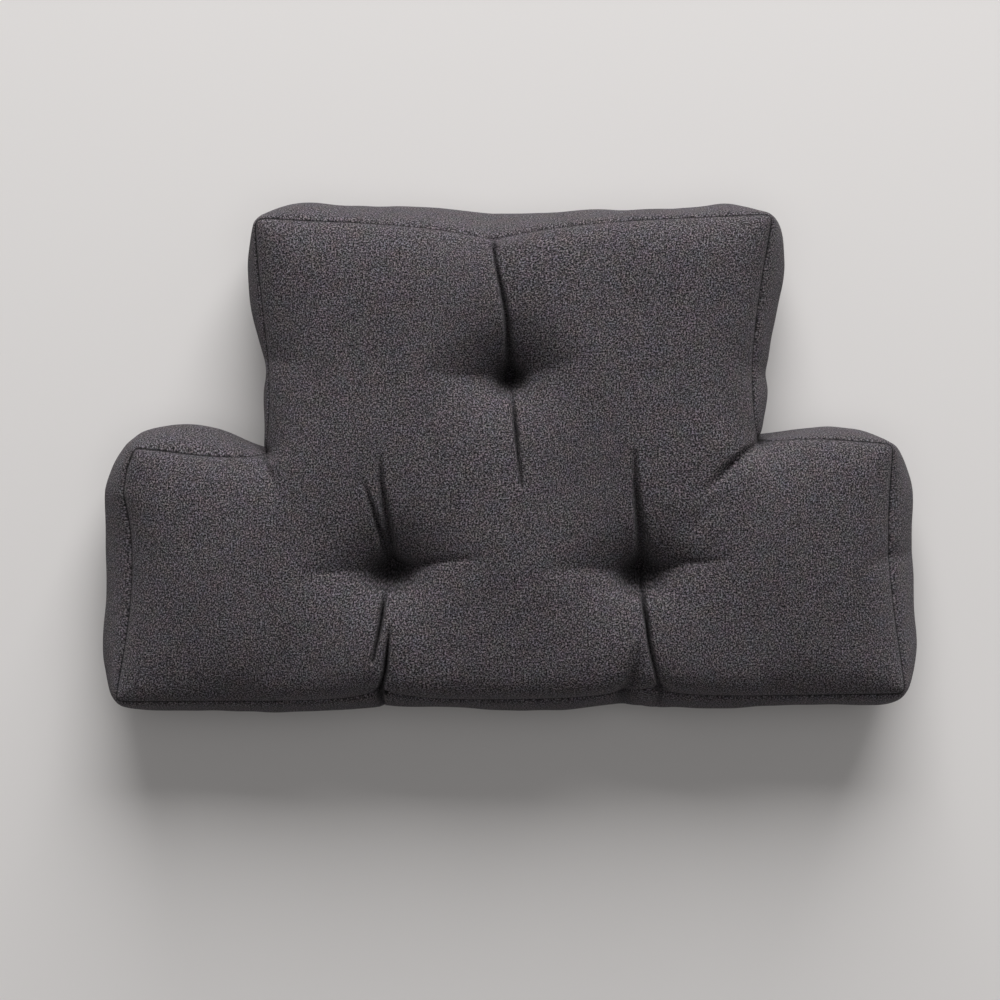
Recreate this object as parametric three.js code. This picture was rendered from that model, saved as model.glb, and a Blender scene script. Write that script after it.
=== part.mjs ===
// A stepped lumbar support cushion, lying on its back with its face up.
// The cover is a front panel, a back panel and a boxing strip between them, sewn closed round a
// loose filling and pulled in at three tufts. It is one filled body.
// Millimetres. +X is the cushion's right side in front view, +Y its narrow head end, +Z out of its
// face. The origin is the middle of its footprint, on the surface that it lies on.
import * as THREE from 'three';

// Heights above the surface that the cushion lies on.
const FRONT_SEAM_HEIGHT = 84;
const BACK_SEAM_HEIGHT = 17;
const CORNER_SPREAD = 4;
const CORNER_REACH = 45;

// The boxing strip swells little at each corner, and fully past this reach. The powers give the
// roundness of its swell, and of the way that the swell fades to a corner.
const CORNER_BELLY = 3;
const BELLY_REACH = 22;
const BELLY_POWER = 0.8;
const BELLY_FADE_POWER = 1.5;

// An outward corner of a seam is turned in a small curve: how far its tip is drawn in, and over
// what length of the seam.
const TURN_DEPTH = 2;
const TURN_REACH = 14;

// A crease that drags a seam in does so in a rounded notch, and fades out before the seam's ends.
const PULL_ROUND = 3;
const PULL_FADE = 0.1;

// The face rises steeply from its seam, then gently towards the middle.
const EDGE_RISE = 22;
const EDGE_REACH = 17;
const MIDDLE_RISE = 9;
const MIDDLE_REACH = 130;

// The back panel is flat, but for its rolled rim and what the tufts draw in.
const BACK_RIM = 38;
const BACK_TUFT_DEPTH = 12;
const BACK_TUFT_RADIUS = 34;

// Seam corners of the front panel, anticlockwise from the lower left, and the way into the panel
// from each outward one. The two armpits are sharp.
const CORNERS = {
  lowerLeft: { at: [-288, -179], inward: [1, 1] },
  lowerRight: { at: [291, -173], inward: [-1, 1] },
  wingRight: { at: [283, 13], inward: [-1, -1] },
  armpitRight: { at: [184, 11], inward: null },
  headRight: { at: [194, 179], inward: [-1, -1] },
  headLeft: { at: [-184, 177], inward: [1, -1] },
  armpitLeft: { at: [-177, 3], inward: null },
  wingLeft: { at: [-280, 8], inward: [1, -1] },
};

// The eight sides between those corners. drawIn is how far the seam is pulled in, deepest at the
// share `peak` of its length. belly is how far the boxing strip swells past the seam, from one end
// to the other. A pull is a place where a crease drags the seam in, and a pinch one where the strip
// is drawn in: its share of the length, its depth and its reach.
const SIDES = [
  { from: 'lowerLeft', to: 'lowerRight', drawIn: -2, peak: 0.5, belly: [9, 12],
    pulls: [{ at: 0.34, depth: 9, reach: 22 }, { at: 0.67, depth: 7, reach: 26 }],
    pinches: [{ at: 0.345, depth: 4, reach: 12 }, { at: 0.62, depth: 4, reach: 12 }] },
  { from: 'lowerRight', to: 'wingRight', drawIn: 7, peak: 0.55, belly: [15.5, 20], pulls: [],
    pinches: [] },
  { from: 'wingRight', to: 'armpitRight', drawIn: 1, peak: 0.6, belly: [3, 10], pulls: [],
    pinches: [] },
  { from: 'armpitRight', to: 'headRight', drawIn: 9, peak: 0.38, belly: [9, 18], pulls: [],
    pinches: [{ at: 0.29, depth: 4, reach: 8 }] },
  { from: 'headRight', to: 'headLeft', drawIn: 4, peak: 0.5, belly: [4, 9],
    pulls: [{ at: 0.54, depth: 15, reach: 60 }], pinches: [] },
  { from: 'headLeft', to: 'armpitLeft', drawIn: 5, peak: 0.68, belly: [8, 5], pulls: [],
    pinches: [{ at: 0.6, depth: 5, reach: 8 }] },
  { from: 'armpitLeft', to: 'wingLeft', drawIn: 4, peak: 0.35, belly: [14, 26], pulls: [],
    pinches: [] },
  { from: 'wingLeft', to: 'lowerLeft', drawIn: 7, peak: 0.5, belly: [20, 18.5], pulls: [],
    pinches: [] },
];

// Each tuft is a deep pit in a wider hollow: slack cloth above it, a steep lip below it.
const TUFTS = {
  head: { at: [2, 57.5], depth: 46, hollow: 13 },
  left: { at: [-86, -84], depth: 48, hollow: 13 },
  right: { at: [100, -85.5], depth: 48, hollow: 13 },
};
const TUFT_REACH = { side: 15, above: 18, below: 11 };
const HOLLOW_REACH = 38;

// Creases that run out of the tufts and the armpits: their points, and the depth and half width
// at each end. Soft ones are rounded valleys, and the others are sharp folds.
const CREASES = [
  { path: [[2, 57.5], [-1, 93], [-4, 115], [-7, 137], [-10, 162]], depth: [15, 8], width: [7, 6] },
  { path: [[2, 57.5], [7, 27], [9, 5], [12, -26]], depth: [9, 0], width: [7, 5] },
  { path: [[2, 57.5], [-28, 60], [-62, 62]], depth: [15, 0], width: [15, 20], soft: true },
  { path: [[2, 57.5], [31, 66], [56, 76]], depth: [12, 0], width: [14, 18], soft: true },
  { path: [[-86, -84], [-86, -60], [-92, -16], [-93, 6]], depth: [14, 0], width: [7, 5] },
  { path: [[-86, -84], [-93, -58], [-100, -34], [-107, -10]], depth: [12, 0], width: [7, 5] },
  { path: [[-86, -84], [-52, -75], [-16, -70]], depth: [13, 0], width: [13, 18], soft: true },
  { path: [[-86, -84], [-123, -82], [-158, -84]], depth: [14, 0], width: [15, 22], soft: true },
  { path: [[-86, -84], [-90, -106], [-94, -124], [-98, -142], [-101, -156]],
    depth: [9, 2], width: [6, 5] },
  { path: [[-86, -118], [-88, -139], [-90, -157], [-93, -170], [-98, -186]],
    depth: [0, 15], width: [6, 8] },
  { path: [[100, -85.5], [95, -40], [93, -19], [92, 6]], depth: [16, 0], width: [8, 5] },
  { path: [[100, -85.5], [126, -76], [146, -74], [166, -69]], depth: [12, 0], width: [13, 18],
    soft: true },
  { path: [[100, -85.5], [53, -79], [22, -80]], depth: [13, 0], width: [15, 20], soft: true },
  { path: [[100, -85.5], [99, -96], [103, -116], [106, -140], [111, -157], [116, -176]],
    depth: [11, 10], width: [6, 8] },
  { path: [[95, -132], [93, -150], [88, -163], [81, -173], [76, -184]],
    depth: [0, 15], width: [7, 8] },
  { path: [[184, 11], [170, 4], [160, -4], [152, -12], [141, -23]], depth: [12, 0], width: [8, 7] },
  { path: [[166, -12], [158, -20], [144, -37], [138, -44]], depth: [3, 2], width: [5, 6] },
  { path: [[-177, 3], [-176, -12], [-174, -26]], depth: [8, 0], width: [7, 6] },
  { path: [[289, -70], [258, -78]], depth: [6, 0], width: [8, 10], soft: true },
  { path: [[-182, 72], [-160, 70], [-136, 68]], depth: [5, 0], width: [10, 14], soft: true },
  { path: [[186, 60], [170, 72], [150, 82]], depth: [5, 0], width: [10, 14], soft: true },
];

// Grid lines of the panel, as it was cut: columns across it and rows up it, closer at the tufts.
const WING_COLUMNS = 12;
const MIDDLE_COLUMNS = 58;
const WING_ROWS = 26;
const HEAD_ROWS = 24;
const CUT = { left: -283, armpitLeft: -180, armpitRight: 183, right: 285, foot: -174, shoulder: 8,
  head: 177 };
const FOCUS = { gain: 1.6, reach: 20 };
const LINE_SAMPLES = 400;
const STRIP_BANDS = 5;

// Columns that are bent to run down a crease, so that the fold falls on an edge of the mesh.
const GUIDES = [
  { column: 2, path: [[12, -26], [9, 5], [7, 27], [2, 57.5], [-1, 93], [-4, 115], [-7, 137],
    [-10, 170]] },
  { column: -90, path: [[-98, -186], [-93, -170], [-90, -157], [-88, -139], [-87, -118],
    [-86, -84], [-86, -60], [-92, -16], [-93, 6]] },
  { column: 100, path: [[116, -176], [111, -157], [106, -140], [103, -116], [99, -96],
    [100, -85.5], [95, -40], [93, -19], [92, 6]] },
];
const GUIDE_REACH = 62;
const GUIDE_FADE = 40;
const GUIDE_EDGE = 12;

const mix = (a, b, share) => a + (b - a) * share;
const clamp = (value, low, high) => Math.min(high, Math.max(low, value));
const blend = (p, q, share) => [mix(p[0], q[0], share), mix(p[1], q[1], share)];
const smooth = (value) => {
  const share = clamp(value, 0, 1);
  return share * share * (3 - 2 * share);
};

// Positions of grid lines from one edge to the other, closer together near the focus points.
function gridLines(from, to, cells, focusPoints) {
  const sums = [0];
  for (let k = 1; k <= LINE_SAMPLES; k += 1) {
    const at = mix(from, to, (k - 0.5) / LINE_SAMPLES);
    const near = focusPoints.map((point) => Math.exp(-(((at - point) / FOCUS.reach) ** 2)));
    sums.push(sums[k - 1] + 1 + FOCUS.gain * Math.max(...near));
  }
  const lines = [];
  for (let k = 0, sample = 0; k <= cells; k += 1) {
    const wanted = (sums[LINE_SAMPLES] * k) / cells;
    while (sample + 1 < LINE_SAMPLES && sums[sample + 1] < wanted) sample += 1;
    const inside = (wanted - sums[sample]) / (sums[sample + 1] - sums[sample]);
    lines.push(mix(from, to, Math.min(1, (sample + inside) / LINE_SAMPLES)));
  }
  return lines;
}

// A point on one side of the outline, at a share of its length from its first corner.
function sidePoint(side, share, withPulls) {
  const a = CORNERS[side.from].at;
  const b = CORNERS[side.to].at;
  const length = Math.hypot(b[0] - a[0], b[1] - a[1]);
  const inward = [-(b[1] - a[1]) / length, (b[0] - a[0]) / length];
  const skew = Math.log(0.5) / Math.log(side.peak);
  let offset = side.drawIn * Math.sin(Math.PI * share ** skew);
  if (withPulls) {
    for (const pull of side.pulls) {
      const away = Math.hypot((share - pull.at) * length, PULL_ROUND) - PULL_ROUND;
      const fade = smooth(Math.min(share, 1 - share) / PULL_FADE);
      offset += pull.depth * Math.exp(-away / pull.reach) * fade;
    }
  }
  const [x, y] = blend(a, b, share);
  return [x + inward[0] * offset, y + inward[1] * offset];
}

// A patch stretched between four edges, each a function of a share from 0 to 1.
function patch(south, east, north, west) {
  return (u, v) => {
    const along = blend(south(u), north(u), v);
    const across = blend(west(v), east(v), u);
    const flat = blend(blend(south(0), south(1), u), blend(north(0), north(1), u), v);
    return [along[0] + across[0] - flat[0], along[1] + across[1] - flat[1]];
  };
}

// The place in plan of a point (s, t) of the cut panel, once its seams are drawn in.
function panelMap(withPulls) {
  const [foot, right, wingRight, blockRight, head, blockLeft, wingLeft, left] = SIDES.map(
    (side) => (share) => sidePoint(side, share, withPulls),
  );
  const width = CUT.right - CUT.left;
  const stepLeft = (CUT.armpitLeft - CUT.left) / width;
  const stepRight = (CUT.armpitRight - CUT.left) / width;
  const line = (p, q) => (share) => blend(p, q, share);
  const innerLeft = line(foot(stepLeft), CORNERS.armpitLeft.at);
  const innerRight = line(foot(stepRight), CORNERS.armpitRight.at);
  const shoulder = line(CORNERS.armpitLeft.at, CORNERS.armpitRight.at);
  const footPart = (from, to) => (share) => foot(mix(from, to, share));
  const back = (edge) => (share) => edge(1 - share);
  const wingLeftPatch = patch(footPart(0, stepLeft), innerLeft, back(wingLeft), back(left));
  const middlePatch = patch(footPart(stepLeft, stepRight), innerRight, shoulder, innerLeft);
  const wingRightPatch = patch(footPart(stepRight, 1), right, back(wingRight), innerRight);
  const headPatch = patch(shoulder, blockRight, back(head), back(blockLeft));
  const share = (value, from, to) => (value - from) / (to - from);
  const place = (s, t) => {
    const middleShare = share(s, CUT.armpitLeft, CUT.armpitRight);
    if (t > CUT.shoulder) return headPatch(middleShare, share(t, CUT.shoulder, CUT.head));
    const up = share(t, CUT.foot, CUT.shoulder);
    if (s < CUT.armpitLeft) return wingLeftPatch(share(s, CUT.left, CUT.armpitLeft), up);
    if (s > CUT.armpitRight) return wingRightPatch(share(s, CUT.armpitRight, CUT.right), up);
    return middlePatch(middleShare, up);
  };
  return (s, t) => turnCorners(...place(s, t));
}

// Draws the tips of the outward corners in, so that the seam turns there in a small curve.
function turnCorners(x, y) {
  const moved = [x, y];
  for (const { at, inward } of Object.values(CORNERS)) {
    if (inward) {
      const near = clamp(1 - Math.hypot(x - at[0], y - at[1]) / TURN_REACH, 0, 1);
      moved[0] += inward[0] * TURN_DEPTH * near ** 2;
      moved[1] += inward[1] * TURN_DEPTH * near ** 2;
    }
  }
  return moved;
}

// How far a cut point lies inside a rectangle, rounded off at its corners.
function insideBox(s, t, left, right, foot, head) {
  const across = ((s - left) * (right - s)) / (right - left);
  const up = ((t - foot) * (head - t)) / (head - foot);
  return across + up - Math.hypot(across, up);
}

// How far a cut point lies inside the stepped panel: the wide foot joined to the tall middle.
function insidePanel(s, t) {
  const wide = insideBox(s, t, CUT.left, CUT.right, CUT.foot, CUT.shoulder);
  const tall = insideBox(s, t, CUT.armpitLeft, CUT.armpitRight, CUT.foot, CUT.head);
  return Math.max(0, wide + tall + Math.hypot(wide, tall));
}

// Distance from a point to a path, and how far along the path the nearest place is.
function nearestOnPath(x, y, path) {
  const lengths = path.slice(1).map((p, k) => Math.hypot(p[0] - path[k][0], p[1] - path[k][1]));
  const total = lengths.reduce((sum, length) => sum + length, 0);
  let best = { distance: Infinity, share: 0 };
  let before = 0;
  lengths.forEach((length, k) => {
    const [ax, ay] = path[k];
    const [bx, by] = path[k + 1];
    const share = clamp(((x - ax) * (bx - ax) + (y - ay) * (by - ay)) / length ** 2, 0, 1);
    const distance = Math.hypot(x - mix(ax, bx, share), y - mix(ay, by, share));
    if (distance < best.distance) best = { distance, share: (before + length * share) / total };
    before += length;
  });
  return best;
}

// How far the tufts pull the face down at a point in plan.
function tuftDepth(x, y) {
  let depth = 0;
  for (const tuft of Object.values(TUFTS)) {
    const dx = x - tuft.at[0];
    const dy = y - tuft.at[1];
    const reach = dy > 0 ? TUFT_REACH.above : TUFT_REACH.below;
    depth += tuft.depth * Math.exp(-Math.hypot(dx / TUFT_REACH.side, dy / reach));
    depth += tuft.hollow * Math.exp(-(dx * dx + dy * dy) / HOLLOW_REACH ** 2);
  }
  return depth;
}

// How far the creases fold the face down at a point in plan.
function creaseDepth(x, y) {
  let depth = 0;
  for (const crease of CREASES) {
    const { distance, share } = nearestOnPath(x, y, crease.path);
    const away = distance / mix(...crease.width, share);
    const profile = crease.soft ? Math.exp(-away * away) : Math.exp(-away);
    depth = Math.hypot(depth, mix(...crease.depth, share) * profile);
  }
  return depth;
}

// 1 at a seam corner that points outwards, falling to 0 away from it.
function cornerShare(x, y) {
  const outward = Object.values(CORNERS).filter((corner) => corner.inward);
  const away = Math.min(...outward.map(({ at }) => Math.hypot(x - at[0], y - at[1])));
  return Math.exp(-away / CORNER_REACH);
}

function frontHeight(x, y, inside) {
  const crown = EDGE_RISE * (1 - Math.exp(-inside / EDGE_REACH))
    + MIDDLE_RISE * (1 - Math.exp(-inside / MIDDLE_REACH));
  const seam = FRONT_SEAM_HEIGHT + CORNER_SPREAD * cornerShare(x, y);
  return seam + crown - tuftDepth(x, y) - creaseDepth(x, y);
}

function backHeight(x, y, inside) {
  const rim = BACK_SEAM_HEIGHT - CORNER_SPREAD * cornerShare(x, y);
  let height = rim * clamp(1 - inside / BACK_RIM, 0, 1) ** 2;
  for (const tuft of Object.values(TUFTS)) {
    const away = Math.hypot(x - tuft.at[0], y - tuft.at[1]) / BACK_TUFT_RADIUS;
    height += BACK_TUFT_DEPTH * clamp(1 - away, 0, 1) ** 2;
  }
  return height;
}

// How far the guides shift a point of the face sideways.
function guideShift(x, y) {
  let shift = 0;
  for (const { column, path } of GUIDES) {
    const low = path[0][1];
    const high = path[path.length - 1][1];
    const level = clamp(y, low, high);
    const next = path.findIndex((point, k) => k > 0 && point[1] >= level);
    const [ax, ay] = path[next - 1];
    const [bx, by] = path[next];
    const wanted = mix(ax, bx, (level - ay) / (by - ay));
    const fade = 1 - smooth(Math.abs(y - level) / GUIDE_FADE);
    shift += (wanted - column) * fade * (1 - smooth(Math.abs(x - column) / GUIDE_REACH));
  }
  return shift;
}

// Grid lines of the cut panel. Both counts are even, so that the back can use every other line.
const columnFocus = Object.values(TUFTS).map((tuft) => tuft.at[0]);
const rowFocus = Object.values(TUFTS).map((tuft) => tuft.at[1]);
const columns = [
  ...gridLines(CUT.left, CUT.armpitLeft, WING_COLUMNS, columnFocus),
  ...gridLines(CUT.armpitLeft, CUT.armpitRight, MIDDLE_COLUMNS, columnFocus).slice(1),
  ...gridLines(CUT.armpitRight, CUT.right, WING_COLUMNS, columnFocus).slice(1),
];
const rows = [
  ...gridLines(CUT.foot, CUT.shoulder, WING_ROWS, rowFocus),
  ...gridLines(CUT.shoulder, CUT.head, HEAD_ROWS, rowFocus).slice(1),
];
const stepLeftColumn = WING_COLUMNS;
const stepRightColumn = WING_COLUMNS + MIDDLE_COLUMNS;
const isNode = (i, j) => j <= WING_ROWS || (i >= stepLeftColumn && i <= stepRightColumn);

const points = [];
const triangles = [];
const addPoint = (x, y, z) => points.push([x, y, z]) - 1;

// The four points of a cell as two triangles, split along its flatter diagonal.
function addCell(a, b, c, d) {
  const flatter = Math.abs(points[a][2] - points[c][2]) <= Math.abs(points[b][2] - points[d][2]);
  if (flatter) triangles.push([a, b, c], [a, c, d]);
  else triangles.push([a, b, d], [b, c, d]);
}

// One panel on every `step`-th grid line. Returns its node numbers by column and row.
function addPanel(step, place, faceUp) {
  const nodes = new Map();
  for (let j = 0; j < rows.length; j += step) {
    for (let i = 0; i < columns.length; i += step) {
      if (isNode(i, j)) nodes.set(`${i},${j}`, addPoint(...place(columns[i], rows[j])));
    }
  }
  for (let j = 0; j + step < rows.length; j += step) {
    for (let i = 0; i + step < columns.length; i += step) {
      if (isNode(i, j + step) && isNode(i + step, j + step)) {
        const cell = [[i, j], [i + step, j], [i + step, j + step], [i, j + step]];
        const ids = cell.map(([column, row]) => nodes.get(`${column},${row}`));
        addCell(...(faceUp ? ids : ids.reverse()));
      }
    }
  }
  return nodes;
}

const faceMap = panelMap(true);
const backMap = panelMap(false);
const front = addPanel(1, (s, t) => {
  const [x, y] = faceMap(s, t);
  const inside = insidePanel(s, t);
  const bentX = x + guideShift(x, y) * smooth(inside / GUIDE_EDGE);
  return [bentX, y, frontHeight(bentX, y, inside)];
}, true);
const back = addPanel(2, (s, t) => {
  const [x, y] = backMap(s, t);
  return [x, y, backHeight(x, y, insidePanel(s, t))];
}, false);

// The grid points round the outline, anticlockwise, each with its side and its share of it.
function outlineNodes() {
  const lastColumn = columns.length - 1;
  const lastRow = rows.length - 1;
  const turns = [
    [0, 0], [lastColumn, 0], [lastColumn, WING_ROWS], [stepRightColumn, WING_ROWS],
    [stepRightColumn, lastRow], [stepLeftColumn, lastRow], [stepLeftColumn, WING_ROWS],
    [0, WING_ROWS],
  ];
  const nodes = [];
  turns.forEach(([fromColumn, fromRow], k) => {
    const [toColumn, toRow] = turns[(k + 1) % turns.length];
    const across = Math.sign(toColumn - fromColumn);
    const up = Math.sign(toRow - fromRow);
    const steps = Math.abs(toColumn - fromColumn) + Math.abs(toRow - fromRow);
    for (let n = 0; n < steps; n += 1) {
      nodes.push({ key: [fromColumn + across * n, fromRow + up * n], side: SIDES[k] });
    }
  });
  return nodes;
}

// How far the boxing strip swells at a point of the seam: full at mid side, less at a pinch and at
// a corner, and not at all in an armpit, where the two bellies press on each other.
function bellyAt(side, x, y) {
  const ends = [CORNERS[side.from], CORNERS[side.to]];
  const [a, b] = ends.map(({ at }) => at);
  const length = Math.hypot(b[0] - a[0], b[1] - a[1]);
  const share = ((x - a[0]) * (b[0] - a[0]) + (y - a[1]) * (b[1] - a[1])) / length ** 2;
  let belly = mix(...side.belly, share);
  for (const pinch of side.pinches) {
    belly -= pinch.depth * Math.exp(-(((share - pinch.at) * length / pinch.reach) ** 2));
  }
  for (const { at, inward } of ends) {
    const away = Math.hypot(x - at[0], y - at[1]) / BELLY_REACH;
    belly = mix(belly, inward ? CORNER_BELLY : 0, Math.exp(-(away ** BELLY_FADE_POWER)));
  }
  return belly;
}

// The boxing strip, as rings of points from the front seam down to the back seam.
const outline = outlineNodes();
const frontRing = outline.map(({ key }) => front.get(key.join()));
const rings = [frontRing];
for (let band = 1; band < STRIP_BANDS; band += 1) {
  const down = band / STRIP_BANDS;
  rings.push(outline.map(({ key, side }, k) => {
    const top = points[frontRing[k]];
    const [x, y] = backMap(columns[key[0]], rows[key[1]]);
    const bottom = [x, y, backHeight(x, y, 0)];
    const before = points[frontRing[(k + outline.length - 1) % outline.length]];
    const after = points[frontRing[(k + 1) % outline.length]];
    const run = Math.hypot(after[0] - before[0], after[1] - before[1]);
    const out = [(after[1] - before[1]) / run, -(after[0] - before[0]) / run];
    const swell = bellyAt(side, x, y) * Math.sin(Math.PI * down) ** BELLY_POWER;
    return addPoint(
      mix(top[0], bottom[0], down) + out[0] * swell,
      mix(top[1], bottom[1], down) + out[1] * swell,
      mix(top[2], bottom[2], down),
    );
  }));
}
for (let band = 0; band + 1 < rings.length; band += 1) {
  outline.forEach((_, k) => {
    const next = (k + 1) % outline.length;
    addCell(rings[band + 1][k], rings[band + 1][next], rings[band][next], rings[band][k]);
  });
}

// The last band meets the back panel, whose rim has half as many points.
const lastRing = rings[rings.length - 1];
for (let k = 0; k < outline.length; k += 2) {
  const middle = lastRing[k + 1];
  const end = lastRing[(k + 2) % outline.length];
  const rim = back.get(outline[k].key.join());
  const rimNext = back.get(outline[(k + 2) % outline.length].key.join());
  triangles.push([rim, middle, lastRing[k]], [rim, rimNext, middle], [rimNext, end, middle]);
}

// The body is moved so that the middle of its footprint is the origin.
const middleOf = (axis) => {
  const values = points.map((point) => point[axis]);
  return (Math.min(...values) + Math.max(...values)) / 2;
};
const centre = [middleOf(0), middleOf(1)];
const positions = points.flatMap(([x, y, z]) => [x - centre[0], y - centre[1], z]);

const geometry = new THREE.BufferGeometry();
geometry.setAttribute('position', new THREE.Float32BufferAttribute(positions, 3));
geometry.setIndex(triangles.flat());
geometry.computeVertexNormals();

const cloth = new THREE.MeshStandardMaterial({ color: 0x4b474a, roughness: 0.95, metalness: 0 });
const cushion = new THREE.Mesh(geometry, cloth);
cushion.name = 'cushion';

const part = new THREE.Group();
part.add(cushion);

export default part;
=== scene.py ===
import math

import bpy
import numpy as np
from mathutils import Euler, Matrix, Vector


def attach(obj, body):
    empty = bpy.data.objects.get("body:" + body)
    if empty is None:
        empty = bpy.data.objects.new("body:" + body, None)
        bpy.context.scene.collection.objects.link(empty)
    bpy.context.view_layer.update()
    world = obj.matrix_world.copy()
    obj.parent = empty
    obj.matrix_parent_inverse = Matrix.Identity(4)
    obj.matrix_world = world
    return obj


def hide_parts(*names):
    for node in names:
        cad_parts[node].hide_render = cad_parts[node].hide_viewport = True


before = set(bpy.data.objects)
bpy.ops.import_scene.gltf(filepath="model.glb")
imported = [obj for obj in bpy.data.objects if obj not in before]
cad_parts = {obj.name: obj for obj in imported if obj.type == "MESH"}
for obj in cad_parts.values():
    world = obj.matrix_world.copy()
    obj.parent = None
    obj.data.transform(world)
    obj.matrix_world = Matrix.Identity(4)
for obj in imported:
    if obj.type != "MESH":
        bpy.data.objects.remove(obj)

# The floor is one plain sheet of pale board. The cushion lies on it on its back.
# Nothing fixes the cushion there, so the board only catches its shadow.
FLOOR_REACH = 9.0
FLOOR_COLOUR = (0.70, 0.68, 0.67, 1.0)

floor_mesh = bpy.data.meshes.new("floor")
floor_mesh.from_pydata(
    [(x * FLOOR_REACH, y * FLOOR_REACH, 0.0) for x, y in ((-1, -1), (1, -1), (1, 1), (-1, 1))],
    [],
    [(0, 1, 2, 3)],
)
floor = bpy.data.objects.new("floor", floor_mesh)
bpy.context.scene.collection.objects.link(floor)
board = bpy.data.materials.new("pale_board")
board.use_nodes = True
board.node_tree.nodes["Principled BSDF"].inputs["Base Color"].default_value = FLOOR_COLOUR
board.node_tree.nodes["Principled BSDF"].inputs["Roughness"].default_value = 0.85
floor_mesh.materials.append(board)

# Plain studio light: a wide soft box past the head end, a little to the right, and a paler one over
# the face. The pale room fills the shadows.
ROOM_COLOUR = (1.0, 0.985, 0.975, 1.0)
ROOM_LIGHT = 0.143
SOFT_BOXES = {
    "head_end": {"at": (0.45, 4.20, 2.32), "side": 3.6, "power": 360.0},
    "overhead": {"at": (0.10, 0.20, 3.2), "side": 2.2, "power": 17.0},
}

world = bpy.data.worlds.new("studio")
world.use_nodes = True
world.node_tree.nodes["Background"].inputs["Color"].default_value = ROOM_COLOUR
world.node_tree.nodes["Background"].inputs["Strength"].default_value = ROOM_LIGHT
bpy.context.scene.world = world
for box_name, box in SOFT_BOXES.items():
    lamp = bpy.data.lights.new(box_name, "AREA")
    lamp.size = box["side"]
    lamp.energy = box["power"]
    soft_box = bpy.data.objects.new(box_name, lamp)
    soft_box.location = box["at"]
    soft_box.rotation_euler = (-Vector(box["at"])).to_track_quat("-Z", "Y").to_euler()
    bpy.context.scene.collection.objects.link(soft_box)
bpy.context.scene.view_settings.view_transform = "Standard"

# The cover is a front panel, a back panel and a boxing strip of grey woven cloth. They are sewn
# closed round loose filling and pulled in at three blind tufts. Here is its cut, in millimetres,
# with +X to the right, +Y to the narrow head end and +Z out of the face.
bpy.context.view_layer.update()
FRONT_SEAM_HEIGHT = 84
BACK_SEAM_HEIGHT = 17
CORNER_SPREAD = {"rise": 4, "reach": 45}

# Seam corners of the front panel, anticlockwise from the lower left, and the way in from each
# outward one. The two armpits are sharp. `belly` is how far the strip swells past that corner.
CORNERS = {
    "lower_left": {"at": (-288, -179), "inward": (1, 1)},
    "lower_right": {"at": (291, -173), "inward": (-1, 1)},
    "wing_right": {"at": (280.5, 10.5), "inward": (-1, -1), "belly": -4},
    "armpit_right": {"at": (184, 11), "inward": None},
    "head_right": {"at": (191.5, 177), "inward": (-1, -1), "belly": -2},
    "head_left": {"at": (-183.5, 174), "inward": (1, -1)},
    "armpit_left": {"at": (-177, 3), "inward": None, "belly": 0},
    "wing_left": {"at": (-273.5, 8), "inward": (1, -1), "belly": 2.5},
}

# The sides between those corners. The seam is drawn in most at the share `peak` of its length. The
# strip swells past it by the two bellies, from one end to the other, and by `corner_belly` at a
# corner that names none of its own. Creases pull the seam in, and pinches draw the strip in. A
# negative depth lets them out.
SIDES = [
    {"ends": ("lower_left", "lower_right"), "drawn": -2, "peak": 0.5, "belly": (9, 12),
     "corner_belly": 9,
     "pulls": [{"at": 0.34, "depth": 8, "reach": 20}, {"at": 0.67, "depth": 7, "reach": 26}],
     "pinches": [{"at": 0.335, "depth": -3, "reach": 20}, {"at": 0.62, "depth": 3, "reach": 12}]},
    {"ends": ("lower_right", "wing_right"), "drawn": 7, "peak": 0.55, "belly": (15.5, 22.5),
     "pulls": [], "pinches": []},
    {"ends": ("wing_right", "armpit_right"), "drawn": -3, "peak": 0.6, "belly": (12.8, -4),
     "corner_belly": -1.5, "pulls": [], "pinches": [{"at": 0.45, "depth": -1.2, "reach": 22}]},
    {"ends": ("armpit_right", "head_right"), "drawn": 9, "peak": 0.38, "belly": (10, 20.5),
     "corner_belly": 3, "pulls": [], "pinches": [{"at": 0.29, "depth": 2, "reach": 8}]},
    {"ends": ("head_right", "head_left"), "drawn": 1.5, "peak": 0.5, "belly": (4, 9),
     "pulls": [{"at": 0.54, "depth": 15, "reach": 60}],
     "pinches": [{"at": 0.08, "depth": -6, "reach": 18}, {"at": 0.92, "depth": -6, "reach": 20}]},
    {"ends": ("head_left", "armpit_left"), "drawn": 5, "peak": 0.68, "belly": (9.5, 4),
     "pulls": [], "pinches": [{"at": 0.625, "depth": 5, "reach": 14}]},
    {"ends": ("armpit_left", "wing_left"), "drawn": 4, "peak": 0.35, "belly": (12, 23.5),
     "pulls": [], "pinches": []},
    {"ends": ("wing_left", "lower_left"), "drawn": 7, "peak": 0.5, "belly": (20, 18.5),
     "pulls": [{"at": 0.18, "depth": -8, "reach": 30}],
     "pinches": [{"at": 0.42, "depth": -2.5, "reach": 40}]},
]

# Grid lines of the cut panel: columns across it and rows up it, closer at the tufts and the seams.
CUT = {"left": -283, "armpit_left": -180, "armpit_right": 183, "right": 285, "foot": -174,
       "shoulder": 8, "head": 177}
WING_COLUMNS = 52
MIDDLE_COLUMNS = 256
WING_ROWS = 120
HEAD_ROWS = 104
TUFTS = {
    "head": {"at": (1.5, 57), "wide": 8, "high": 8.5, "hollow": 14},
    "left": {"at": (-86, -84.5), "wide": 13, "high": 10, "hollow": 12},
    "right": {"at": (96, -86), "wide": 11.5, "high": 11, "hollow": 11},
}
TUFT_FOCUS = {"gain": 3.2, "reach": 14}
SEAM_FOCUS = {"gain": 1.8, "reach": 5}
LINE_SAMPLES = 2000


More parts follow.
